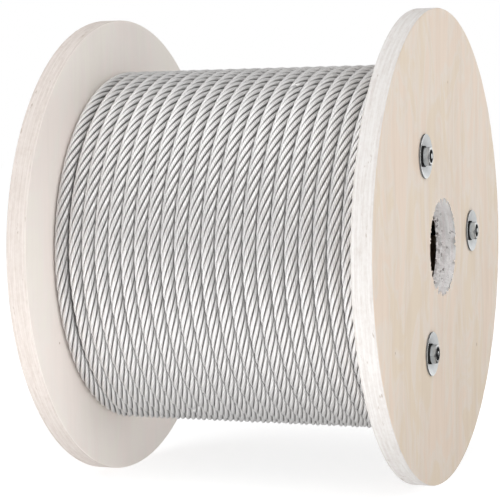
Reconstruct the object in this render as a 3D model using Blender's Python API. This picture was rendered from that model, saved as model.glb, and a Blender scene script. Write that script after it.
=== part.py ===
"""Plywood reel wound full of wire rope, standing on its two flange rims.

Metres, +Z up. The reel's axis lies along X, and the origin is on the floor, halfway between the
bolt heads and the bolt ends.
The right flange is toward +X. Three tie bolts inside the hollow barrel clamp the flanges.
"""

import math

import bmesh
import bpy
from mathutils import Matrix

# Flanges: plywood discs with eased edges
FLANGE_DIAMETER = 0.275
PLY_THICKNESS = 0.012
EDGE_EASE = 0.0007
SPINDLE_BORE = 0.057

# Barrel: a stout fibre tube let into a groove in each flange
BARREL_DIAMETER = 0.155
BARREL_WALL = 0.006
GROOVE_DEPTH = 0.003
WIDTH_BETWEEN_FLANGES = 0.187

# Wire rope, wound in full layers
ROPE_DIAMETER = 0.008
ROPE_LAYERS = 4
TURN_VALLEY = 0.0022
CROWN_SHARE = 0.3

# Tie bolts, their nuts and their dished washers
BOLT_COUNT = 3
BOLT_TO_BARREL = 0.0035
BOLT_PHASE = math.radians(6.0)
BOLT_DIAMETER = 0.006
BOLT_END_PROUD = 0.0004
HEX_ACROSS_FLATS = 0.010
HEX_CHAMFER = 0.0006
NUT_HEIGHT = 0.005
HEAD_HEIGHT = 0.004
WASHER_DIAMETER = 0.025
WASHER_THICKNESS = 0.0015
WASHER_SEAT_DIAMETER = 0.0124
DISH_DEPTH = 0.0034

# Clearance between touching pieces, and how finely round pieces are turned
FIT_GAP = 0.0003
REEL_STEPS = 48
HARDWARE_STEPS = 20

# Worked out from the sizes above
AXIS_HEIGHT = FLANGE_DIAMETER / 2
INNER_FACE = WIDTH_BETWEEN_FLANGES / 2
OUTER_FACE = INNER_FACE + PLY_THICKNESS
TURNS = int(WIDTH_BETWEEN_FLANGES / ROPE_DIAMETER + 0.001)
TURN_PITCH = (WIDTH_BETWEEN_FLANGES - 2 * FIT_GAP) / TURNS
LAYER_STEP = ROPE_DIAMETER * math.sqrt(3) / 2
WINDING_RADIUS = BARREL_DIAMETER / 2 + ROPE_DIAMETER + (ROPE_LAYERS - 1) * LAYER_STEP
BARREL_INNER_RADIUS = BARREL_DIAMETER / 2 - BARREL_WALL
BOLT_CIRCLE_RADIUS = BARREL_INNER_RADIUS - BOLT_TO_BARREL - BOLT_DIAMETER / 2
BOLT_HOLE_RADIUS = BOLT_DIAMETER / 2 + FIT_GAP
WASHER_TOP = OUTER_FACE - DISH_DEPTH + FIT_GAP + WASHER_THICKNESS
NUT_SEAT = WASHER_TOP + FIT_GAP
BOLT_END = NUT_SEAT + NUT_HEIGHT + BOLT_END_PROUD
HEAD_END = NUT_SEAT + HEAD_HEIGHT
REEL_MIDDLE = (HEAD_END - BOLT_END) / 2


def make_material(name, colour, roughness, metallic):
    material = bpy.data.materials.new(name)
    material.use_nodes = True
    shader = material.node_tree.nodes["Principled BSDF"]
    shader.inputs["Base Color"].default_value = (*colour, 1.0)
    shader.inputs["Roughness"].default_value = roughness
    shader.inputs["Metallic"].default_value = metallic
    material.diffuse_color = (*colour, 1.0)
    return material


def turned_mesh(name, profile, steps, mirrored=False):
    """Turns a closed (x, radius) outline about X, with flats at the top and bottom.

    The flats lie at the given radii. A point of zero radius closes the shape on the axis.
    """
    flat_scale = 1 / math.cos(math.pi / steps)
    side = -1 if mirrored else 1
    mesh = bmesh.new()
    rings = []
    for x, radius in profile:
        if radius == 0:
            rings.append([mesh.verts.new((side * x, 0, 0))])
            continue
        ring = []
        for step in range(steps):
            angle = 2 * math.pi * (step + 0.5) / steps
            y = radius * flat_scale * math.cos(angle)
            z = radius * flat_scale * math.sin(angle)
            ring.append(mesh.verts.new((side * x, y, z)))
        rings.append(ring)
    on_axis = len(rings[0]) == 1
    pairs = list(zip(rings, rings[1:]))
    if not on_axis:
        pairs.append((rings[-1], rings[0]))
    for near, far in pairs:
        for step in range(steps):
            after = (step + 1) % steps
            corners = [near[step % len(near)], far[step % len(far)],
                       far[after % len(far)], near[after % len(near)]]
            unique = list(dict.fromkeys(corners))
            mesh.faces.new(unique)
    bmesh.ops.recalc_face_normals(mesh, faces=mesh.faces)
    data = bpy.data.meshes.new(name)
    mesh.to_mesh(data)
    mesh.free()
    return data


def hex_prism_mesh(name, start, end, across_flats):
    corner = across_flats / 2 / math.cos(math.pi / 6)
    mesh = bmesh.new()
    outline = []
    for step in range(6):
        angle = math.pi / 3 * step
        outline.append(mesh.verts.new((start, corner * math.cos(angle), corner * math.sin(angle))))
    base = mesh.faces.new(outline)
    grown = bmesh.ops.extrude_face_region(mesh, geom=[base])
    moved = [item for item in grown["geom"] if isinstance(item, bmesh.types.BMVert)]
    bmesh.ops.translate(mesh, verts=moved, vec=(end - start, 0, 0))
    bmesh.ops.recalc_face_normals(mesh, faces=mesh.faces)
    data = bpy.data.meshes.new(name)
    mesh.to_mesh(data)
    mesh.free()
    return data


def add_piece(name, data, location=(0, 0, 0), turn=0.0, parent=None, material=None):
    piece = bpy.data.objects.new(name, data)
    piece.location = location
    piece.rotation_euler = (turn, 0, 0)
    piece.parent = parent
    bpy.context.scene.collection.objects.link(piece)
    if material is not None and not data.materials:
        data.materials.append(material)
    data.shade_smooth()
    data.set_sharp_from_angle(angle=math.radians(28))
    return piece


def add_cutter(name, data, location=(0, 0, 0), turn=0.0, parent=None):
    cutter = add_piece(name, data, location, turn, parent)
    cutter.hide_render = True
    cutter.display_type = "WIRE"
    return cutter


def combine(piece, other, operation):
    modifier = piece.modifiers.new(other.name, "BOOLEAN")
    modifier.operation = operation
    modifier.solver = "EXACT"
    modifier.object = other


def bolt_places():
    """Each tie bolt's turn about the reel's axis, and its place in the reel's Y-Z plane."""
    for number in range(BOLT_COUNT):
        angle = BOLT_PHASE + 2 * math.pi * number / BOLT_COUNT
        y = BOLT_CIRCLE_RADIUS * math.cos(angle)
        z = BOLT_CIRCLE_RADIUS * math.sin(angle)
        yield number + 1, angle, y, z


def flange_profile():
    """A disc from bore to rim, with eased corners and a groove for the barrel on its inner face."""
    rim = FLANGE_DIAMETER / 2
    bore = SPINDLE_BORE / 2
    groove_out = BARREL_DIAMETER / 2 + FIT_GAP
    groove_in = BARREL_INNER_RADIUS - FIT_GAP
    groove_floor = INNER_FACE + GROOVE_DEPTH
    return [
        (INNER_FACE, bore), (INNER_FACE, groove_in),
        (groove_floor, groove_in), (groove_floor, groove_out),
        (INNER_FACE, groove_out), (INNER_FACE, rim - EDGE_EASE),
        (INNER_FACE + EDGE_EASE, rim), (OUTER_FACE - EDGE_EASE, rim),
        (OUTER_FACE, rim - EDGE_EASE), (OUTER_FACE, bore),
    ]


def bolt_seat_profile():
    """The bolt hole with the dish that the washer is pulled into, cut from the flange."""
    dish_floor = OUTER_FACE - DISH_DEPTH
    clear = OUTER_FACE + DISH_DEPTH
    dish_radius = WASHER_DIAMETER / 2
    slope = DISH_DEPTH / (dish_radius - WASHER_SEAT_DIAMETER / 2)
    return [
        (INNER_FACE - PLY_THICKNESS, 0), (INNER_FACE - PLY_THICKNESS, BOLT_HOLE_RADIUS),
        (dish_floor, BOLT_HOLE_RADIUS), (dish_floor, WASHER_SEAT_DIAMETER / 2),
        (clear, dish_radius + (clear - OUTER_FACE) / slope), (clear, 0),
    ]


def washer_profile():
    """A washer pressed into the same dish, flat under the nut and coned out to its rim."""
    seat = WASHER_TOP - WASHER_THICKNESS
    rim = seat + DISH_DEPTH
    inner = BOLT_HOLE_RADIUS
    bend = WASHER_SEAT_DIAMETER / 2
    outer = WASHER_DIAMETER / 2
    return [
        (seat, inner), (seat, bend), (rim, outer),
        (rim + WASHER_THICKNESS, outer), (WASHER_TOP, bend), (WASHER_TOP, inner),
    ]


def hex_envelope(start, end):
    """The turned outline that rounds off the corners of a nut or a bolt head."""
    corner = HEX_ACROSS_FLATS / 2 / math.cos(math.pi / 6) + FIT_GAP / 2
    return [
        (start, corner - HEX_CHAMFER), (start + HEX_CHAMFER / 2, corner),
        (end - HEX_CHAMFER / 2, corner), (end, corner - HEX_CHAMFER),
    ]


def winding_profile():
    """The wound rope as one solid: a bore on the barrel, and a crown for each outer turn."""
    bore = BARREL_DIAMETER / 2 + FIT_GAP
    left = -INNER_FACE + FIT_GAP
    profile = [(INNER_FACE - FIT_GAP, bore), (left, bore)]
    valley = WINDING_RADIUS - TURN_VALLEY
    crown_start = TURN_PITCH * CROWN_SHARE
    for turn in range(TURNS):
        start = left + turn * TURN_PITCH
        profile.append((start, valley))
        profile.append((start + crown_start, WINDING_RADIUS))
        profile.append((start + TURN_PITCH - crown_start, WINDING_RADIUS))
    profile.append((INNER_FACE - FIT_GAP, valley))
    return profile


def barrel_profile():
    end = INNER_FACE + GROOVE_DEPTH - FIT_GAP
    outer = BARREL_DIAMETER / 2
    return [(-end, BARREL_INNER_RADIUS), (-end, outer), (end, outer), (end, BARREL_INNER_RADIUS)]


def build_flange(name, mirrored, reel, material):
    data = turned_mesh(name, flange_profile(), REEL_STEPS, mirrored)
    flange = add_piece(name, data, parent=reel, material=material)
    seat = turned_mesh(name + "_bolt_seat", bolt_seat_profile(), HARDWARE_STEPS, mirrored)
    for number, angle, y, z in bolt_places():
        cutter = add_cutter(f"{name}_bolt_seat_{number}", seat, (0, y, z), angle, reel)
        combine(flange, cutter, "DIFFERENCE")


def build_washers(reel, material):
    for side, mirrored in (("right", False), ("left", True)):
        data = turned_mesh(side + "_washer", washer_profile(), HARDWARE_STEPS, mirrored)
        for number, angle, y, z in bolt_places():
            add_piece(f"{side}_washer_{number}", data, (0, y, z), angle, reel, material)


def build_nuts(reel, material):
    """Hexagon nuts on the right flange: a chamfered ring cut to six flats."""
    start = NUT_SEAT
    end = NUT_SEAT + NUT_HEIGHT
    ring = [(start, BOLT_HOLE_RADIUS), *hex_envelope(start, end), (end, BOLT_HOLE_RADIUS)]
    data = turned_mesh("nut", ring, HARDWARE_STEPS)
    flats = hex_prism_mesh("nut_flats", start - NUT_HEIGHT, end + NUT_HEIGHT, HEX_ACROSS_FLATS)
    for number, angle, y, z in bolt_places():
        nut = add_piece(f"nut_{number}", data, (0, y, z), angle, reel, material)
        combine(nut, add_cutter(f"nut_flats_{number}", flats, (0, y, z), angle, reel), "INTERSECT")


def build_bolts(reel, material):
    """Bolts from the left flange to the nuts: a hexagon head on a plain shank."""
    head_seat = -NUT_SEAT
    head_end = -HEAD_END
    radius = BOLT_DIAMETER / 2
    overlap = HEAD_HEIGHT / 2
    head = [(head_end, 0), *hex_envelope(head_end, head_seat), (head_seat, 0)]
    shank = [
        (head_seat - overlap, 0), (head_seat - overlap, radius),
        (BOLT_END - BOLT_END_PROUD, radius), (BOLT_END, radius - BOLT_END_PROUD), (BOLT_END, 0),
    ]
    head_data = turned_mesh("tie_bolt", head, HARDWARE_STEPS)
    shank_data = turned_mesh("tie_bolt_shank", shank, HARDWARE_STEPS)
    flats = hex_prism_mesh("head_flats", head_end - HEAD_HEIGHT, head_seat + HEAD_HEIGHT, HEX_ACROSS_FLATS)
    for number, angle, y, z in bolt_places():
        bolt = add_piece(f"tie_bolt_{number}", head_data, (0, y, z), angle, reel, material)
        combine(bolt, add_cutter(f"head_flats_{number}", flats, (0, y, z), angle, reel), "INTERSECT")
        combine(bolt, add_cutter(f"shank_{number}", shank_data, (0, y, z), angle, reel), "UNION")


def build_reel():
    for old in list(bpy.data.objects):
        bpy.data.objects.remove(old)
    reel = bpy.data.objects.new("reel_axis", None)
    reel.matrix_world = Matrix.Translation((REEL_MIDDLE, 0, AXIS_HEIGHT))
    bpy.context.scene.collection.objects.link(reel)

    plywood = make_material("birch_plywood", (0.76, 0.66, 0.56), 0.62, 0.0)
    fibre = make_material("fibre_tube", (0.30, 0.22, 0.15), 0.80, 0.0)
    steel_rope = make_material("bright_wire_rope", (0.62, 0.63, 0.65), 0.38, 1.0)
    zinc = make_material("zinc_plated_steel", (0.66, 0.69, 0.72), 0.34, 1.0)

    build_flange("right_flange", False, reel, plywood)
    build_flange("left_flange", True, reel, plywood)
    barrel = turned_mesh("barrel", barrel_profile(), REEL_STEPS)
    add_piece("barrel", barrel, parent=reel, material=fibre)
    winding = turned_mesh("rope_winding", winding_profile(), REEL_STEPS)
    add_piece("rope_winding", winding, parent=reel, material=steel_rope)
    build_washers(reel, zinc)
    build_nuts(reel, zinc)
    build_bolts(reel, zinc)


build_reel()
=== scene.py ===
import math

import bmesh
import bpy
from mathutils import Matrix, Vector, noise


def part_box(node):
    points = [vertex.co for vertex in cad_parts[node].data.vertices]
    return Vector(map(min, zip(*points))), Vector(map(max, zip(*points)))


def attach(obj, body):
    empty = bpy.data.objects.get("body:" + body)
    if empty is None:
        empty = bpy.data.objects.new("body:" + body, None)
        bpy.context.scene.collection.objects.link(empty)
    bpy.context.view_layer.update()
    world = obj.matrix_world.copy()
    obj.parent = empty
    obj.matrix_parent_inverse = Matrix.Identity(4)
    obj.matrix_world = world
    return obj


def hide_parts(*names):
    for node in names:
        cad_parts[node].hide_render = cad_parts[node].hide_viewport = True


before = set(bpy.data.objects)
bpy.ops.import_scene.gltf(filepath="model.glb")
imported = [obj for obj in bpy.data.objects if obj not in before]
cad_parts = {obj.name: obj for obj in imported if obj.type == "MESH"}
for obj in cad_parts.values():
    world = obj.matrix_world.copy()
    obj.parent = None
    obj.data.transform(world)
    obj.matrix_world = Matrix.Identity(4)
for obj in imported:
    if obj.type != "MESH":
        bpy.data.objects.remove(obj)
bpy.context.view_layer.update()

scene = bpy.context.scene

# where the reel lies, read from the frame
windingLow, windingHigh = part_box("rope_winding")
flangeLow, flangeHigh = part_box("right_flange")
reelCentre = (windingLow + windingHigh) / 2
reel = {
    "middle": reelCentre.x,
    "axisHeight": reelCentre.z,
    "windingWidth": windingHigh.x - windingLow.x,
    "windingRadius": (windingHigh.z - windingLow.z) / 2,
    "flangeRadius": (flangeHigh.z - flangeLow.z) / 2,
    "innerFace": flangeLow.x - reelCentre.x,
    "outerFace": flangeHigh.x - reelCentre.x,
    "spindleBore": 0.057,
}
print("frame loaded, reel axis at", round(reel["axisHeight"], 4))


# node helpers: a Field is a socket that takes part in plain arithmetic
class Field:
    def __init__(self, tree, socket):
        self.tree = tree
        self.socket = socket

    def math(self, operation, *others):
        node = self.tree.nodes.new("ShaderNodeMath")
        node.operation = operation
        for slot, value in enumerate((self, *others)):
            plug(self.tree, node.inputs[slot], value)
        return Field(self.tree, node.outputs[0])

    def __add__(self, other): return self.math("ADD", other)
    def __sub__(self, other): return self.math("SUBTRACT", other)
    def __mul__(self, other): return self.math("MULTIPLY", other)
    def __truediv__(self, other): return self.math("DIVIDE", other)

    def sin(self): return self.math("SINE")
    def cos(self): return self.math("COSINE")
    def floor(self): return self.math("FLOOR")
    def fract(self): return self.math("FRACT")
    def clamp(self, low, high): return self.math("MAXIMUM", low).math("MINIMUM", high)

    def smooth(self, low, high):
        node = self.tree.nodes.new("ShaderNodeMapRange")
        node.interpolation_type = "SMOOTHSTEP"
        for name, value in (("Value", self), ("From Min", low), ("From Max", high)):
            plug(self.tree, node.inputs[name], value)
        return Field(self.tree, node.outputs["Result"])


def plug(tree, slot, value):
    if isinstance(value, Field):
        value = value.socket
    if isinstance(value, bpy.types.NodeSocket):
        tree.links.new(value, slot)
    else:
        slot.default_value = value


def addNode(tree, kind, inputs=None, **settings):
    node = tree.nodes.new(kind)
    for name, value in settings.items():
        setattr(node, name, value)
    for name, value in (inputs or {}).items():
        plug(tree, node.inputs[name], value)
    return node


def separate(tree, vector):
    node = addNode(tree, "ShaderNodeSeparateXYZ", {0: vector})
    return [Field(tree, socket) for socket in node.outputs]


def combine(tree, x, y, z):
    return addNode(tree, "ShaderNodeCombineXYZ", {0: x, 1: y, 2: z}).outputs[0]


# a geometry tree with named number inputs; the modifier is set through their identifiers
def geometryTree(name, sizes):
    tree = bpy.data.node_groups.new(name, "GeometryNodeTree")
    tree.interface.new_socket("Geometry", in_out="INPUT", socket_type="NodeSocketGeometry")
    tree.interface.new_socket("Geometry", in_out="OUTPUT", socket_type="NodeSocketGeometry")
    kinds = {int: "NodeSocketInt", float: "NodeSocketFloat"}
    for label, value in sizes.items():
        socket = tree.interface.new_socket(label, in_out="INPUT", socket_type=kinds[type(value)])
        socket.default_value = value
    tree.interface.new_socket("Material", in_out="INPUT", socket_type="NodeSocketMaterial")
    inputs = tree.nodes.new("NodeGroupInput")
    values = {socket.name: Field(tree, socket) for socket in inputs.outputs if socket.name}
    return tree, values


def closeTree(tree, values, geometry):
    real = addNode(tree, "GeometryNodeRealizeInstances", {0: geometry})
    finish = addNode(tree, "GeometryNodeSetMaterial", {
        0: real.outputs[0], "Material": values["Material"]})
    output = tree.nodes.new("NodeGroupOutput")
    tree.links.new(finish.outputs[0], output.inputs[0])


def evaluatedMesh(piece):
    bpy.context.view_layer.update()
    graph = bpy.context.evaluated_depsgraph_get()
    return bpy.data.meshes.new_from_object(piece.evaluated_get(graph), depsgraph=graph)


def runTree(tree, name, sizes, material, source=None):
    carrier = addPiece(name + "Carrier", source or bpy.data.meshes.new(name + "Source"))
    modifier = carrier.modifiers.new("shape", "NODES")
    modifier.node_group = tree
    for item in tree.interface.items_tree:
        if item.in_out == "INPUT" and item.name in sizes:
            modifier[item.identifier] = sizes[item.name]
        if item.in_out == "INPUT" and item.name == "Material":
            modifier[item.identifier] = material
    carrier.update_tag()
    mesh = evaluatedMesh(carrier)
    bpy.data.objects.remove(carrier)
    mesh.materials.clear()
    mesh.materials.append(material)
    mesh.polygons.foreach_set("material_index", [0] * len(mesh.polygons))
    return addPiece(name, mesh)


def addPiece(name, mesh, materials=()):
    mesh.name = name
    for material in materials:
        mesh.materials.append(material)
    piece = bpy.data.objects.new(name, mesh)
    scene.collection.objects.link(piece)
    return piece


def newMaterial(name, roughness, metallic=0.0):
    material = bpy.data.materials.new(name)
    material.use_nodes = True
    tree = material.node_tree
    shader = tree.nodes["Principled BSDF"]
    shader.inputs["Roughness"].default_value = roughness
    shader.inputs["Metallic"].default_value = metallic
    return material, tree, shader


def colourRamp(tree, factor, stops):
    ramp = addNode(tree, "ShaderNodeValToRGB", {"Fac": factor})
    elements = ramp.color_ramp.elements
    while len(elements) < len(stops):
        elements.new(0.5)
    for element, (place, colour) in zip(elements, stops):
        element.position = place
        element.color = (*colour, 1.0)
    return ramp.outputs["Color"]


def mixColour(tree, factor, first, second, blend="MIX"):
    node = addNode(tree, "ShaderNodeMix", data_type="RGBA", blend_type=blend)
    for slot, value in ((0, factor), (6, first), (7, second)):
        if isinstance(value, tuple):
            value = (*value, 1.0)
        plug(tree, node.inputs[slot], value)
    return node.outputs[2]


# noise on object coordinates, stretched by a scale for each axis
def grainNoise(tree, scale, detail=4.0, roughness=0.55, coords=None, distortion=0.0):
    if coords is None:
        coords = addNode(tree, "ShaderNodeTexCoord").outputs["Object"]
    mapping = addNode(tree, "ShaderNodeMapping", {"Vector": coords, "Scale": scale})
    node = addNode(tree, "ShaderNodeTexNoise", {
        "Vector": mapping.outputs[0], "Scale": 1.0, "Detail": detail,
        "Roughness": roughness, "Distortion": distortion})
    return Field(tree, node.outputs["Fac"])


def lineNoise(tree, place):
    node = addNode(tree, "ShaderNodeTexNoise", {"W": place, "Scale": 1.0, "Detail": 1.0},
                   noise_dimensions="1D")
    return Field(tree, node.outputs["Fac"])


def bumpNode(tree, shader, height, strength, distance):
    bump = addNode(tree, "ShaderNodeBump", {
        "Height": height, "Strength": strength, "Distance": distance})
    tree.links.new(bump.outputs[0], shader.inputs["Normal"])


def lathe(rows, segments):
    # rows are (x, radius) pairs, and either may be a function of the angle
    mesh = bmesh.new()
    rings = []
    for x, radius in rows:
        if radius == 0:
            rings.append([mesh.verts.new((x, 0, 0))])
            continue
        ring = []
        for step in range(segments):
            angle = 2 * math.pi * step / segments
            place = x(angle) if callable(x) else x
            size = radius(angle) if callable(radius) else radius
            ring.append(mesh.verts.new((place, size * math.cos(angle), size * math.sin(angle))))
        rings.append(ring)
    pairs = list(zip(rings, rings[1:]))
    if len(rings[0]) > 1:
        pairs.append((rings[-1], rings[0]))
    for near, far in pairs:
        for step in range(segments):
            after = (step + 1) % segments
            corners = [near[step % len(near)], far[step % len(far)],
                       far[after % len(far)], near[after % len(near)]]
            mesh.faces.new(list(dict.fromkeys(corners)))
    bmesh.ops.recalc_face_normals(mesh, faces=mesh.faces)
    return mesh


def meshFrom(build, name, shift=(0, 0, 0), smoothAngle=35):
    bmesh.ops.translate(build, verts=build.verts, vec=shift)
    mesh = bpy.data.meshes.new(name)
    build.to_mesh(mesh)
    build.free()
    mesh.shade_smooth()
    mesh.set_sharp_from_angle(angle=math.radians(smoothAngle))
    return mesh


def finishPiece(piece, slot, *nodes):
    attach(piece, "root")
    if nodes:
        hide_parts(*nodes)


# wire rope: six round strands laid right-handed, wound turn beside turn
rope = {
    "turns": 23,
    "strands": 6,
    "strandOpening": math.radians(240),      # the rest of a strand's round faces inwards
    "diameter": 0.008,
    "layLength": 0.048,
    "strandLay": 0.021,
    "firstGap": 0.0009,          # the first turn sits a little apart from the rest
    "crossingShare": 0.15,       # share of a turn in which the rope steps over to its next place
    "crossingEnd": math.radians(27),         # where it ends, seen along the axis
    "tail": 0.06,                # share of a turn in which each end dips to the layer below
    "wander": 0.00016,
    "pieces": 3,
    "rowsPerTurn": 176,
    "pointsPerStrand": 8,
    "hiddenRowsPerTurn": 66,     # the layer below is coarser, because hardly any of it shows
    "hiddenPointsPerStrand": 3,
    "roughness": 0.54,
    "metallic": 0.80,
    "steelTones": [(0.86, 0.85, 0.845), (0.95, 0.94, 0.935)],
    "grooveShadeStart": 0.23,         # painted shade between strands: it starts here and is full at the end below, in shares of a strand's width from its crown
    "grooveShadeEnd": 0.445,
    "grooveShadeColour": (0.09, 0.086, 0.082),
    "wires": 6.0,                # outer wires across the strand's open side
    "wireSlant": 1.5,            # a wire crosses this many strand widths in one strand lay
    # painted shade colour for the gaps between neighbouring wires
    "wireGapShade": (0.34, 0.335, 0.33),
    "wireBump": 0.00025,
}


def ropeMaterial():
    material, tree, shader = newMaterial("bright_wire_rope", rope["roughness"], rope["metallic"])
    uv = addNode(tree, "ShaderNodeTexCoord").outputs["UV"]
    along, strand, _ = separate(tree, uv)
    wires = strand * rope["wires"] - along * (rope["wires"] * rope["wireSlant"])
    across = wires.fract() * 2.0 - 1.0
    crown = across * across * -1.0 + 1.0
    tone = grainNoise(tree, (140, 140, 140), detail=3.0)
    steel = colourRamp(tree, tone, list(zip((0.3, 0.7), rope["steelTones"])))
    # painted shade: the colour darkens in the gaps between neighbouring outer wires
    paintedWireGaps = mixColour(tree, crown.smooth(0.0, 0.75), rope["wireGapShade"], (1.0, 1.0, 1.0))
    bright = mixColour(tree, 1.0, steel, paintedWireGaps, "MULTIPLY")
    # painted shade: the base colour darkens from the crown towards the strand's edges, where
    # neighbouring strands meet in the grooves
    fromCrown = (strand.fract() - 0.5).math("ABSOLUTE")
    paintedGrooveShade = fromCrown.smooth(rope["grooveShadeStart"], rope["grooveShadeEnd"])
    colour = mixColour(tree, paintedGrooveShade, bright, rope["grooveShadeColour"])
    tree.links.new(colour, shader.inputs["Base Color"])
    bumpNode(tree, shader, crown, 0.6, rope["wireBump"])
    return material


def ropeTree():
    tree, size = geometryTree("laid rope on a reel", {
        "Rows": 100, "First Turn": 0.0, "Turns": 1.0, "Last Place": 22.0,
        "Rope Diameter": 0.008, "Coil Radius": 0.1, "Turn Pitch": 0.008, "First Place X": 0.0,
        "First Gap": 0.0, "Lay Length": 0.06, "Strand Lay": 0.02, "Crossing Share": 0.15,
        "Crossing End": 0.0, "Tail": 0.06, "Tail Drop": 0.007, "Axis Height": 0.1, "Wander": 0.0,
        "Points Per Strand": 8, "Start Turn": 0.0, "End Turn": 23.0})
    grid = addNode(tree, "GeometryNodeMeshGrid", {
        "Size X": 1.0, "Size Y": 1.0, "Vertices X": (size["Rows"] + 1.0).socket,
        "Vertices Y": (size["Points Per Strand"] * rope["strands"] + 1.0).socket})
    gridX, gridY, _ = separate(tree, addNode(tree, "GeometryNodeInputPosition").outputs[0])
    row = (gridX + 0.5) * size["Rows"]
    strandPlace = (gridY + 0.5) * rope["strands"]

    # the first and last rows fold in to close the ends
    share = ((row - 1.0) / (size["Rows"] - 2.0)).clamp(0.0, 1.0)
    opened = row.math("GREATER_THAN", 0.5) * (size["Rows"] - row).math("GREATER_THAN", 0.5)

    turn = size["First Turn"] + share * size["Turns"]
    stepOver = turn.fract().smooth(size["Crossing Share"] * -1.0 + 1.0, 1.0)
    place = (turn.floor() + stepOver).clamp(0.0, size["Last Place"])
    swayX = (lineNoise(tree, turn * 5.0) - 0.5) * size["Wander"] * 2.0
    swayR = (lineNoise(tree, turn * 4.0 + 71.0) - 0.6) * size["Wander"] * 2.0

    # both ends dip below the layer, where the next turn covers them
    startDip = turn.smooth(size["Start Turn"], size["Start Turn"] + size["Tail"]) * -1.0 + 1.0
    endDip = turn.smooth(size["End Turn"] - size["Tail"], size["End Turn"])
    dip = (startDip + endDip) * size["Tail Drop"]
    radius = size["Coil Radius"] + swayR.math("MINIMUM", 0.0) - dip
    centreX = size["First Place X"] + place * size["Turn Pitch"] + swayX \
        + place.clamp(0.0, 1.0) * size["First Gap"]

    fullTurn = 2 * math.pi
    angle = turn * fullTurn
    length = angle * size["Coil Radius"]
    strandRadius = size["Rope Diameter"] / 6.0      # three strands lie across the rope
    number = strandPlace.floor()
    around = (strandPlace.fract() - 0.5) * rope["strandOpening"]
    twist = (number + 0.5) * (fullTurn / rope["strands"]) - length / size["Lay Length"] * fullTurn
    outward = (around.cos() + 2.0) * strandRadius * opened
    sideways = around.sin() * strandRadius * opened
    lateral = outward * twist.sin() + sideways * twist.cos()
    radial = radius + outward * twist.cos() - sideways * twist.sin()
    turned = angle + size["Crossing End"]
    position = combine(tree, centreX + lateral, radial * turned.cos(),
                       radial * turned.sin() + size["Axis Height"])

    uv = combine(tree, length / size["Strand Lay"], strandPlace, 0.0)
    named = addNode(tree, "GeometryNodeStoreNamedAttribute", data_type="FLOAT2", domain="CORNER")
    plug(tree, named.inputs["Geometry"], grid.outputs["Mesh"])
    plug(tree, named.inputs["Name"], "UVMap")
    plug(tree, [slot for slot in named.inputs if slot.name == "Value" and slot.enabled][0], uv)
    placed = addNode(tree, "GeometryNodeSetPosition", {
        "Geometry": named.outputs[0], "Position": position})
    merged = addNode(tree, "GeometryNodeMergeByDistance", {
        "Geometry": placed.outputs[0], "Distance": 0.00001})
    smooth = addNode(tree, "GeometryNodeSetShadeSmooth", {"Geometry": merged.outputs[0]})
    closeTree(tree, size, smooth.outputs[0])
    return tree


def buildRope():
    tree = ropeTree()
    material = ropeMaterial()
    half = rope["diameter"] / 2
    below = rope["diameter"] * math.sqrt(3) / 2      # how deep a layer lies under the next
    room = reel["windingWidth"] - rope["diameter"]
    start = -rope["tail"]
    end = rope["turns"] - rope["crossingShare"] + rope["tail"]
    common = {
        "Last Place": float(rope["turns"] - 1), "Rope Diameter": rope["diameter"],
        "Coil Radius": reel["windingRadius"] - half, "First Place X": windingLow.x + half,
        "Turn Pitch": (room - rope["firstGap"]) / (rope["turns"] - 1),
        "First Gap": rope["firstGap"], "Lay Length": rope["layLength"],
        "Strand Lay": rope["strandLay"], "Crossing Share": rope["crossingShare"],
        "Crossing End": rope["crossingEnd"], "Tail": rope["tail"], "Tail Drop": below,
        "Axis Height": reel["axisHeight"], "Wander": rope["wander"],
        "Points Per Strand": rope["pointsPerStrand"], "Start Turn": start, "End Turn": end}
    each = (end - start) / rope["pieces"]
    for number in range(rope["pieces"]):
        sizes = {**common, "First Turn": start + number * each, "Turns": each,
                 "Rows": int(each * rope["rowsPerTurn"])}
        turns = runTree(tree, f"ropeTurns{number + 1}", sizes, material)
        finishPiece(turns, "bright_wire_rope", "rope_winding")

    # the layer below crosses on the other side, so that it shows beside the outer crossing
    sizes = {**common, "Coil Radius": common["Coil Radius"] - below,
             "Turn Pitch": room / (rope["turns"] - 1), "First Gap": 0.0, "Tail Drop": 0.0,
             "Crossing End": rope["crossingEnd"] + math.pi,
             "First Turn": 0.0, "Turns": rope["turns"] - rope["crossingShare"],
             "Points Per Strand": rope["hiddenPointsPerStrand"],
             "Rows": rope["turns"] * rope["hiddenRowsPerTurn"]}
    hidden = runTree(tree, "ropeLayerBelow", sizes, material)
    finishPiece(hidden, "bright_wire_rope", "rope_winding")
    print("rope wound,", rope["turns"], "turns in the outer layer")


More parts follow.
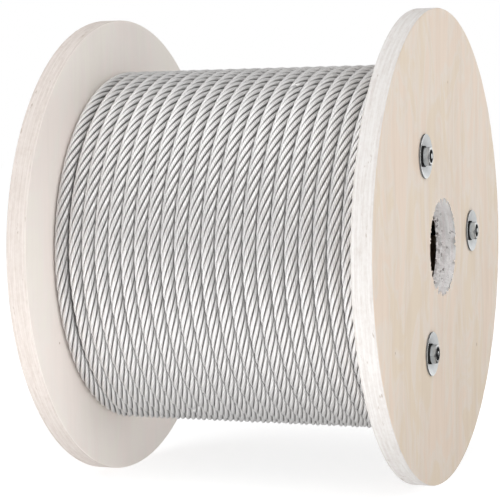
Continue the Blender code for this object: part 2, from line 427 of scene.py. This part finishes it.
# plywood flanges
flange = {
    "segments": 240,
    "edgeEase": 0.0008,
    "arrisWear": 0.0014,
    "plies": 9,
    "plyWaver": 0.0006,
    "boreSteps": 10,
    "boreRag": 0.00035,
    "splinters": 0.0022,
    "tornDepth": 0.0075,         # how far in from the inner face the hole is torn most
    "smoothAngle": math.radians(20),
    # pinkish, plain and yellowish wood, and the darker streaks in it
    "outerTones": [(0.735, 0.61, 0.505), (0.722, 0.638, 0.556), (0.71, 0.60, 0.475),
                   (0.61, 0.485, 0.38)],
    # the inner faces' tones are greyer and set lighter than the outer tones; the extra lightness is
    # painted light for the light the faces between the flanges miss
    "innerTonesWithPaintedLight": [(0.845, 0.772, 0.726), (0.835, 0.778, 0.731), (0.835, 0.788, 0.726),
                   (0.787, 0.724, 0.678)],
    "pinKnots": [(0.078, 0.073, 0.0013), (0.012, 0.233, 0.0008), (-0.098, 0.086, 0.0008)],
    "knotColour": (0.36, 0.24, 0.16),
    "boreTones": [(0.93, 0.88, 0.87), (0.97, 0.95, 0.94)],
    "tornColour": (0.16, 0.12, 0.11),
    # dark and light end grain of each rim, and how clearly its glue lines show
    "nearEdge": [(0.60, 0.559, 0.531), (0.71, 0.69, 0.672)],
    "nearLines": 0.08,
    "farEdge": [(0.58, 0.513, 0.47), (0.69, 0.632, 0.594)],
    "farLines": 0.35,
    "glueColour": (0.45, 0.33, 0.26),
    "speckColour": (0.30, 0.22, 0.16),
}


def plywoodFace(name, tones):
    material, tree, shader = newMaterial(name, 0.62)
    coords = addNode(tree, "ShaderNodeTexCoord").outputs["Object"]
    broad = grainNoise(tree, (60, 34, 17), detail=5.0, coords=coords, distortion=1.2)
    streaks = grainNoise(tree, (300, 80, 9), roughness=0.65, coords=coords, distortion=0.6)
    fibres = grainNoise(tree, (700, 430, 24), detail=3.0, roughness=0.7, coords=coords,
                        distortion=0.3)
    wood = colourRamp(tree, broad, list(zip((0.42, 0.50, 0.58), tones)))
    shade = streaks * 0.65 + fibres * 0.35
    shaded = mixColour(tree, shade.smooth(0.36, 0.58) * -0.36 + 0.36, wood, tones[3])
    _, y, z = separate(tree, coords)
    knots = shade * 0.0
    for knotY, knotZ, size in flange["pinKnots"]:
        away = ((y - knotY) * (y - knotY) * 1.6 + (z - knotZ) * (z - knotZ)).math("SQRT")
        knots = knots + (away + streaks * size).smooth(size * 0.9, size * 1.8) * -1.0 + 1.0
    marked = mixColour(tree, knots.clamp(0.0, 1.0) * 0.75, shaded, flange["knotColour"])
    tree.links.new(marked, shader.inputs["Base Color"])
    bumpNode(tree, shader, shade, 0.1, 0.0003)
    return material


def plywoodBore():
    # the saw left the hole pale and furry, with dark torn spots
    material, tree, shader = newMaterial("plywood_bore", 0.85)
    coords = addNode(tree, "ShaderNodeTexCoord").outputs["Object"]
    torn = grainNoise(tree, (330, 190, 190), detail=5.0, roughness=0.7, coords=coords)
    lines = grainNoise(tree, (900, 50, 50), detail=3.0, coords=coords)
    wood = colourRamp(tree, lines, list(zip((0.35, 0.55), flange["boreTones"])))
    x, _, _ = separate(tree, coords)
    away = (x - reel["middle"]).math("ABSOLUTE")
    inward = away.smooth(reel["innerFace"], reel["innerFace"] + flange["tornDepth"]) * -1.0 + 1.0
    spots = (torn + inward * 0.10).smooth(0.62, 0.69)
    marked = mixColour(tree, spots * 0.85, wood, flange["tornColour"])
    tree.links.new(marked, shader.inputs["Base Color"])
    bumpNode(tree, shader, torn * -1.0 + lines * 0.4, 0.7, 0.0008)
    return material


def plywoodEdge(name, tones, lineStrength):
    material, tree, shader = newMaterial(name, 0.72)
    coords = addNode(tree, "ShaderNodeTexCoord").outputs["Object"]
    x, _, _ = separate(tree, coords)
    waver = grainNoise(tree, (20, 20, 20), detail=2.0, coords=coords)
    pitch = (reel["outerFace"] - reel["innerFace"]) / flange["plies"]
    away = (x - reel["middle"]).math("ABSOLUTE")
    ply = (away - reel["outerFace"] + waver * flange["plyWaver"]) / pitch
    glue = (ply.fract() - 0.5).math("ABSOLUTE").smooth(0.42, 0.49)
    crossPly = (ply * 0.5).fract().math("GREATER_THAN", 0.5)
    fibres = grainNoise(tree, (700, 60, 60), detail=5.0, roughness=0.7, coords=coords)
    ends = grainNoise(tree, (500, 420, 420), detail=3.0, coords=coords)
    tone = fibres * 0.7 + ends * 0.3 - crossPly * 0.06
    wood = colourRamp(tree, tone, list(zip((0.30, 0.55), tones)))
    lined = mixColour(tree, glue * lineStrength, wood, flange["glueColour"])
    specks = grainNoise(tree, (420, 130, 130), detail=3.0, coords=coords)
    marked = mixColour(tree, specks.smooth(0.655, 0.74) * 0.6, lined, flange["speckColour"])
    tree.links.new(marked, shader.inputs["Base Color"])
    bumpNode(tree, shader, fibres + glue * -0.6 + specks * 0.4, 0.5, 0.0005)
    return material


def raggedBore(side):
    # a rough-cut hole: its wall wanders, and splinters hang on its inner edge
    def radius(x):
        inward = (reel["outerFace"] - x) / (reel["outerFace"] - reel["innerFace"])
        def at(angle):
            spot = Vector((math.cos(angle) * 5, math.sin(angle) * 5, x * 260 + side * 7))
            wander = noise.noise(spot) * 0.8 + noise.noise(spot * 6.3) * 0.7
            splinter = max(0.0, noise.noise(spot * 9.1)) * inward ** 3
            if inward < 0.001:
                splinter = max(0.0, noise.noise(spot * 3.3) + noise.noise(spot * 8.0) - 0.1) * 2.2
            half = reel["spindleBore"] / 2
            return half + flange["boreRag"] * wander - flange["splinters"] * splinter
        return at
    return radius


def wornArris(side):
    # where the rim's edge meets a face, it is worn back here and there
    def radius(x):
        def at(angle):
            spot = Vector((math.cos(angle) * 30, math.sin(angle) * 30, x * 400 + side * 3))
            wear = flange["arrisWear"] * max(0.0, noise.noise(spot) - 0.1)
            return reel["flangeRadius"] - flange["edgeEase"] - wear
        return at
    return radius


def discRows(side):
    inner, outer, rim = reel["innerFace"], reel["outerFace"], reel["flangeRadius"]
    ease = flange["edgeEase"]
    arris, bore = wornArris(side), raggedBore(side)
    rows = [(inner, arris(inner)), (inner + ease * 0.3, rim - ease * 0.3), (inner + ease, rim),
            (outer - ease, rim), (outer - ease * 0.3, rim - ease * 0.3), (outer, arris(outer)),
            (outer, bore(outer)), (outer - ease, bore(outer - ease))]
    for step in range(1, flange["boreSteps"] + 1):
        x = outer - (outer - inner) * step / flange["boreSteps"]
        rows.append((x, bore(x)))
    return [(side * x, radius) for x, radius in rows]


def seatRows(side):
    # cuts a bolt hole, and the dish that the washer is pulled into
    inner, outer = reel["innerFace"], reel["outerFace"]
    hole = fastener["bolt"] / 2 + fastener["clearance"]
    dish, seat, rim = fastener["dishDepth"], fastener["seat"] / 2, fastener["washer"] / 2
    slope = dish / (rim - seat)
    rows = [(inner - (outer - inner), 0), (inner - (outer - inner), hole), (outer - dish, hole),
            (outer - dish, seat), (outer, rim), (outer + dish, rim + dish / slope),
            (outer + dish, 0)]
    return [(side * x, radius) for x, radius in rows]


def carve(piece, cutter):
    modifier = piece.modifiers.new("seat", "BOOLEAN")
    modifier.object = cutter
    modifier.solver = "EXACT"
    carved = evaluatedMesh(piece)
    piece.modifiers.remove(modifier)
    piece.data = carved
    bpy.data.objects.remove(cutter)


def buildFlange(name, side, materials):
    disc = lathe(discRows(side), flange["segments"])
    piece = addPiece(name, meshFrom(disc, name, (reel["middle"], 0, reel["axisHeight"])), materials)
    for y, z in boltSpots():
        build = lathe(seatRows(side), fastener["segments"])
        carve(piece, addPiece("cutter", meshFrom(build, "cutter", (reel["middle"], y, z))))
    piece.data.shade_smooth()
    piece.data.set_sharp_from_angle(angle=flange["smoothAngle"])
    for face in piece.data.polygons:
        outward = face.normal.x * side
        away = math.hypot(face.center.y, face.center.z - reel["axisHeight"])
        if outward > 0.9:
            face.material_index = 0
        elif outward < -0.9:
            face.material_index = 1
        elif away < reel["spindleBore"] * 0.6:
            face.material_index = 3
        else:
            face.material_index = 2
        face.use_smooth = abs(outward) < 0.999    # the flat faces stay evenly shaded
    finishPiece(piece, "birch_plywood", name.replace("Flange", "_flange"))


def buildFlanges():
    outer = plywoodFace("plywood_outer", flange["outerTones"])
    inner = plywoodFace("plywood_inner", flange["innerTonesWithPaintedLight"])
    near = plywoodEdge("plywood_edge", flange["nearEdge"], flange["nearLines"])
    far = plywoodEdge("plywood_edge_left", flange["farEdge"], flange["farLines"])
    bore = plywoodBore()
    buildFlange("rightFlange", 1, [outer, inner, near, bore])
    buildFlange("leftFlange", -1, [outer, inner, far, bore])
    print("flanges cut")


# tie bolts, nuts and washers, standing on one circle
fastener = {
    "count": 3,
    "phase": math.radians(6),
    "circle": 0.065,
    "bolt": 0.006,
    "washer": 0.025,
    "washerThickness": 0.0015,
    "washerRim": 0.0008,
    "seat": 0.0124,
    "dishDepth": 0.0034,
    "acrossFlats": 0.010,
    "nutHeight": 0.005,
    "countersink": 0.0008,
    "springWasher": 0.0118,
    "springWasherThickness": 0.0015,
    "springWasherStart": math.radians(100),
    "springWasherSweep": math.radians(346),
    "springWasherLean": math.radians(9),
    "headHeight": 0.004,
    "headDimple": (0.0004, 0.0006),
    "boltEnd": 0.0004,           # how far a bolt stands out of its nut
    "threadLength": 0.004,
    "threadPitch": 0.001,
    "gap": 0.0003,
    "clearance": 0.0001,
    "segments": 72,
    "washerSegments": 96,
    "boltSegments": 48,
    "washerTones": [(0.77, 0.785, 0.79), (0.85, 0.865, 0.87)],
    "nutTones": [(0.40, 0.41, 0.41), (0.56, 0.57, 0.57)],
    # dark colour for painted shade in threads, countersinks and under washer edges, and the split
    # rings' own colour
    "black": (0.02, 0.02, 0.02, 1.0),
}


def boltSpots():
    angles = [fastener["phase"] + 2 * math.pi * number / fastener["count"]
              for number in range(fastener["count"])]
    return [(fastener["circle"] * math.cos(angle),
             reel["axisHeight"] + fastener["circle"] * math.sin(angle)) for angle in angles]


def plateMaterial(name, tones, roughness, metallic=1.0):
    material, tree, shader = newMaterial(name, roughness, metallic)
    coords = addNode(tree, "ShaderNodeTexCoord").outputs["Object"]
    bloom = grainNoise(tree, (120, 120, 120), coords=coords)
    scuffs = grainNoise(tree, (900, 500, 500), detail=3.0, coords=coords)
    base = colourRamp(tree, bloom * 0.7 + scuffs * 0.3, list(zip((0.35, 0.65), tones)))
    tree.links.new(base, shader.inputs["Base Color"])
    bumpNode(tree, shader, scuffs, 0.12, 0.0003)
    return material


def washerRows():
    # a dished washer with rounded edges, from its hole out over the top and back underneath
    top = reel["outerFace"] - fastener["dishDepth"] + fastener["gap"] + fastener["washerThickness"]
    under = top - fastener["washerThickness"]
    bend, rim = fastener["seat"] / 2, fastener["washer"] / 2
    lift = fastener["dishDepth"]
    thin = fastener["washerThickness"] - fastener["washerRim"]
    soften = fastener["washerRim"] * 0.2
    hole = fastener["bolt"] / 2 + fastener["clearance"]
    rows = [(under, hole), (top, hole), (top, bend)]
    for share in (0.25, 0.5, 0.75):
        ease = share ** 1.15
        rows.append((top + lift * ease - thin * share, bend + (rim - bend) * share))
    rows += [(top + lift - thin, rim - soften), (top + lift - thin - soften, rim),
             (under + lift + soften, rim), (under + lift, rim - soften), (under, bend)]
    return rows


def hexRows(start, end, hole, mouth):
    # a nut or head: six flats, corners turned off at 30 degrees, and a countersunk hole
    flat = fastener["acrossFlats"] / 2
    crown = flat * 0.95
    slope = math.tan(math.radians(30))

    def side(angle):
        return flat / math.cos(angle % (math.pi / 3) - math.pi / 6)

    def lower(angle):
        return start + (side(angle) - crown) * slope

    def upper(angle):
        return end - (side(angle) - crown) * slope
    return [(start, hole), (start, crown), (lower, side), (upper, side), (end, crown),
            (end, mouth), (end - (mouth - hole) * 0.6, hole)]


def boltRows(start, end):
    # turned thread crests, near enough to a helix at this size
    radius, pitch = fastener["bolt"] / 2, fastener["threadPitch"]
    rows = [(start, 0), (start, radius)]
    x = end - fastener["threadLength"]
    while x < end - pitch * 0.6:
        rows += [(x, radius), (x + pitch * 0.5, radius - pitch * 0.45)]
        x += pitch
    # the end is turned off to a blunt cone
    rows += [(end - 0.0008, radius - 0.0001), (end, radius * 0.52), (end, 0)]
    return rows


# copies the incoming piece round the bolt circle
def boltCircleTree():
    tree, size = geometryTree("ring of fasteners", {
        "Count": 3, "Circle Radius": 0.07, "Phase": 0.0, "Axis X": 0.0, "Axis Height": 0.1})
    inputs = [node for node in tree.nodes if node.bl_idname == "NodeGroupInput"][0]
    index = Field(tree, addNode(tree, "GeometryNodeInputIndex").outputs[0])
    angle = index * (2 * math.pi) / size["Count"] + size["Phase"]
    spot = combine(tree, size["Axis X"], size["Circle Radius"] * angle.cos(),
                   size["Circle Radius"] * angle.sin() + size["Axis Height"])
    points = addNode(tree, "GeometryNodePoints", {"Count": size["Count"].socket, "Position": spot})
    turned = combine(tree, angle, 0.0, 0.0)
    copies = addNode(tree, "GeometryNodeInstanceOnPoints", {
        "Points": points.outputs[0], "Instance": inputs.outputs[0], "Rotation": turned})
    closeTree(tree, size, copies.outputs[0])
    return tree


def springWasherMesh(start):
    # a split ring under each nut, cut through at a slant
    thickness = fastener["springWasherThickness"]
    end = start + thickness
    inner = fastener["bolt"] / 2 + fastener["clearance"]
    outer = fastener["springWasher"] / 2
    steps = fastener["segments"]
    mesh = bmesh.new()
    rings = []
    for step in range(steps + 1):
        turned = fastener["springWasherStart"] + fastener["springWasherSweep"] * step / steps
        ring = []
        for x, radius in [(start, inner), (end, inner), (end, outer), (start, outer)]:
            angle = turned + fastener["springWasherLean"] * (x - start) / thickness
            ring.append(mesh.verts.new((x, radius * math.cos(angle), radius * math.sin(angle))))
        rings.append(ring)
    for near, far in zip(rings, rings[1:]):
        for corner in range(4):
            after = (corner + 1) % 4
            mesh.faces.new([near[corner], far[corner], far[after], near[after]])
    mesh.faces.new(rings[0])
    mesh.faces.new(rings[-1])
    bmesh.ops.recalc_face_normals(mesh, faces=mesh.faces)
    return mesh


def joinBuilds(builds, name):
    whole = bmesh.new()
    for build in builds:
        part = meshFrom(build, "part")
        whole.from_mesh(part)
        bpy.data.meshes.remove(part)
    return meshFrom(whole, name, smoothAngle=32)


# painted shade: the faces between two radii about their bolt take the dark material, for the shade
# in threads, countersinks and the gap under the washers' outer edges
def paintShadeRing(piece, material, outer, inner=0.0):
    piece.data.materials.append(material)
    for face in piece.data.polygons:
        away = min(math.hypot(face.center.y - y, face.center.z - z) for y, z in boltSpots())
        if inner < away < outer:
            face.material_index = 1


def buildFasteners():
    tree = boltCircleTree()
    zinc = plateMaterial("zinc_washers", fastener["washerTones"], 0.6, 0.4)
    steel = plateMaterial("zinc_nuts", fastener["nutTones"], 0.36)
    black, _, blackShader = newMaterial("black_steel_and_painted_shade", 0.9)
    blackShader.inputs["Base Color"].default_value = fastener["black"]
    blackShader.inputs["Specular IOR Level"].default_value = 0.05
    sizes = {"Count": fastener["count"], "Circle Radius": fastener["circle"],
             "Phase": fastener["phase"], "Axis X": reel["middle"],
             "Axis Height": reel["axisHeight"]}
    numbers = range(1, fastener["count"] + 1)
    bolt = fastener["bolt"] / 2
    seat = reel["outerFace"] - fastener["dishDepth"] + 2 * fastener["gap"] \
        + fastener["washerThickness"]
    nutEnd = seat + fastener["nutHeight"]
    nutStart = seat + fastener["springWasherThickness"]

    rows = washerRows()
    mirrored = [(-x, radius) for x, radius in rows]
    both = joinBuilds([lathe(side, fastener["washerSegments"]) for side in (rows, mirrored)],
                      "washers")
    washers = runTree(tree, "washers", sizes, zinc, both)
    rim = fastener["washer"] / 2
    # painted shadow: the washers' outer edge wall takes the dark material, for the gap under it
    paintShadeRing(washers, black, rim + 0.001, rim - fastener["washerRim"] * 0.05)
    finishPiece(washers, "zinc_plated_steel",
                *[f"{side}_washer_{number}" for side in ("left", "right") for number in numbers])

    hole, mouth = bolt - fastener["clearance"], bolt + fastener["countersink"]
    nutBuild = lathe(hexRows(nutStart, nutEnd, hole, mouth), fastener["segments"])
    nuts = runTree(tree, "nuts", sizes, steel, joinBuilds([nutBuild], "nuts"))
    # painted shade in each nut's hole and countersink
    paintShadeRing(nuts, black, bolt + 0.0006)
    finishPiece(nuts, "zinc_plated_steel", *[f"nut_{number}" for number in numbers])
    # the split rings are dark steel, and their darkness also stands in for the shade beside each
    # nut (painted shade)
    ring = joinBuilds([springWasherMesh(seat)], "springWashers")
    finishPiece(runTree(tree, "springWashers", sizes, black, ring), "zinc_plated_steel")

    shank = lathe(boltRows(-seat, nutEnd + fastener["boltEnd"]), fastener["boltSegments"])
    head = lathe(hexRows(-seat - fastener["headHeight"], -seat, *fastener["headDimple"]),
                 fastener["segments"])
    bolts = runTree(tree, "tieBolts", sizes, steel, joinBuilds([shank, head], "tieBolts"))
    # painted shade on the bolts' threads and turned-off ends
    paintShadeRing(bolts, black, bolt + 0.0001, bolt * 0.5)
    finishPiece(bolts, "zinc_plated_steel", *[f"tie_bolt_{number}" for number in numbers])
    print("fasteners set on a circle of", fastener["circle"] * 2)


# the hollow core keeps the frame's own shape and gets a fibre finish
barrel = {
    "roughness": 0.85,
    "tones": [(0.16, 0.11, 0.07), (0.30, 0.22, 0.15)],
}


def dressBarrel():
    material, tree, shader = newMaterial("fibre_tube", barrel["roughness"])
    tone = grainNoise(tree, (60, 200, 200), detail=5.0)
    base = colourRamp(tree, tone, list(zip((0.3, 0.7), barrel["tones"])))
    tree.links.new(base, shader.inputs["Base Color"])
    bumpNode(tree, shader, tone, 0.3, 0.0005)
    for slot in bpy.data.objects["barrel"].material_slots:
        slot.material = material
    print("barrel finished")


# camera at the photograph's viewing angle
camera = {
    "focalPixels": 1824.5,
    "framePixels": 500,
    "turn": math.radians(21.16),
    "tilt": math.radians(3.0),
    "roll": math.radians(-0.62),
    "distance": 4.0,               # in flange diameters, as are the aim's offsets
    "aim": (-0.0527, 0.0, -0.0103),
    "sensor": 36.0,
}


def placeCamera():
    turn, tilt, roll = camera["turn"], camera["tilt"], camera["roll"]
    forward = Vector((-math.sin(turn) * math.cos(tilt), math.cos(turn) * math.cos(tilt),
                      -math.sin(tilt)))
    level = forward.cross(Vector((0, 0, 1))).normalized()
    upright = level.cross(forward)
    right = level * math.cos(roll) + upright * math.sin(roll)
    up = upright * math.cos(roll) - level * math.sin(roll)
    diameter = 2 * reel["flangeRadius"]
    aim = Vector((reel["middle"], 0, reel["axisHeight"])) + Vector(camera["aim"]) * diameter
    spot = aim - forward * camera["distance"] * diameter
    lens = bpy.data.cameras.new("camera")
    lens.sensor_width = camera["sensor"]
    lens.lens = camera["focalPixels"] / camera["framePixels"] * camera["sensor"]
    lens.clip_start = 0.01
    eye = bpy.data.objects.new("camera", lens)
    eye.matrix_world = Matrix((
        (right.x, up.x, -forward.x, spot.x), (right.y, up.y, -forward.y, spot.y),
        (right.z, up.z, -forward.z, spot.z), (0, 0, 0, 1)))
    scene.collection.objects.link(eye)
    scene.camera = eye
    print("camera placed")


# a pale floor, soft lights and a pale surround
studio = {
    "floorSize": 60.0,
    "floorColour": (0.36, 0.36, 0.36),
    "floorGlow": 0.75,
    "seenSurround": (1.0, 1.0, 1.0),
    # brightness by height, from straight down (0) through level (0.5) to straight up (1)
    "surround": [(0.0, 1.4), (0.10, 1.8), (0.22, 1.45), (0.33, 0.12), (0.40, 0.12), (0.50, 0.03),
                 (0.58, 0.08), (0.68, 0.12), (0.80, 1.35), (0.90, 1.65), (1.0, 1.0)],
    "backDimming": 0.8,
    # name, place, width, height and power
    "softboxes": [
        ("upperLeft", (-1.1, -1.1, 2.1), 3.0, 1.6, 8.0),
        ("upperRight", (0.9, -1.3, 2.1), 2.8, 1.5, 8.0),
        ("besideLens", (-0.60, -1.50, 0.15), 0.8, 0.5, 5.0),
        ("rightSide", (1.6, -0.9, 1.25), 1.0, 1.0, 6.3),
        ("backRight", (0.95, 2.1, 0.5), 1.8, 1.2, 13.0),
        ("lowStrip", (0.0, -0.26, 0.004), 0.7, 0.2, 0.45),
    ],
}


def buildStage():
    half = studio["floorSize"] / 2
    mesh = bpy.data.meshes.new("floor")
    mesh.from_pydata([(-half, -half, 0), (half, -half, 0), (half, half, 0), (-half, half, 0)],
                     [], [(0, 1, 2, 3)])
    material, _, shader = newMaterial("pale_floor", 0.9)
    shader.inputs["Base Color"].default_value = (*studio["floorColour"], 1.0)
    shader.inputs["Emission Color"].default_value = (1.0, 1.0, 1.0, 1.0)
    shader.inputs["Emission Strength"].default_value = studio["floorGlow"]
    floor = addPiece("floor", mesh, [material])
    floor.visible_glossy = False      # the bright wire mirrors the surround's own lower half


def addSoftbox(name, spot, width, height, power):
    light = bpy.data.lights.new(name, "AREA")
    light.shape = "RECTANGLE"
    light.size, light.size_y = width, height
    light.energy = power
    box = bpy.data.objects.new(name, light)
    box.location = spot
    aim = Vector((reel["middle"], 0, reel["axisHeight"]))
    if spot[2] < 0.01:
        aim = Vector(spot) + Vector((0, 0, 1))      # a strip on the floor shines straight up
    box.rotation_euler = (aim - Vector(spot)).to_track_quat("-Z", "Y").to_euler()
    box.visible_camera = False
    scene.collection.objects.link(box)


def lightStage():
    world = bpy.data.worlds.new("surround")
    scene.world = world
    world.use_nodes = True
    tree = world.node_tree
    background = tree.nodes["Background"]
    direction = addNode(tree, "ShaderNodeTexCoord").outputs["Generated"]
    _, back, height = separate(tree, direction)
    glow = colourRamp(tree, height * 0.5 + 0.5,
                      [(place, (level, level, level)) for place, level in studio["surround"]])
    seen = Field(tree, addNode(tree, "ShaderNodeLightPath").outputs["Is Camera Ray"])
    plug(tree, background.inputs["Color"], mixColour(tree, seen, glow, studio["seenSurround"]))
    dimmed = back.smooth(-0.3, 0.5) * -studio["backDimming"] + 1.0
    plug(tree, background.inputs["Strength"], dimmed * (seen * -1.0 + 1.0) + seen)
    for softbox in studio["softboxes"]:
        addSoftbox(*softbox)
    print("lights set")


scene.view_settings.view_transform = "Standard"
placeCamera()
buildStage()
lightStage()
buildFlanges()
buildFasteners()
dressBarrel()
buildRope()
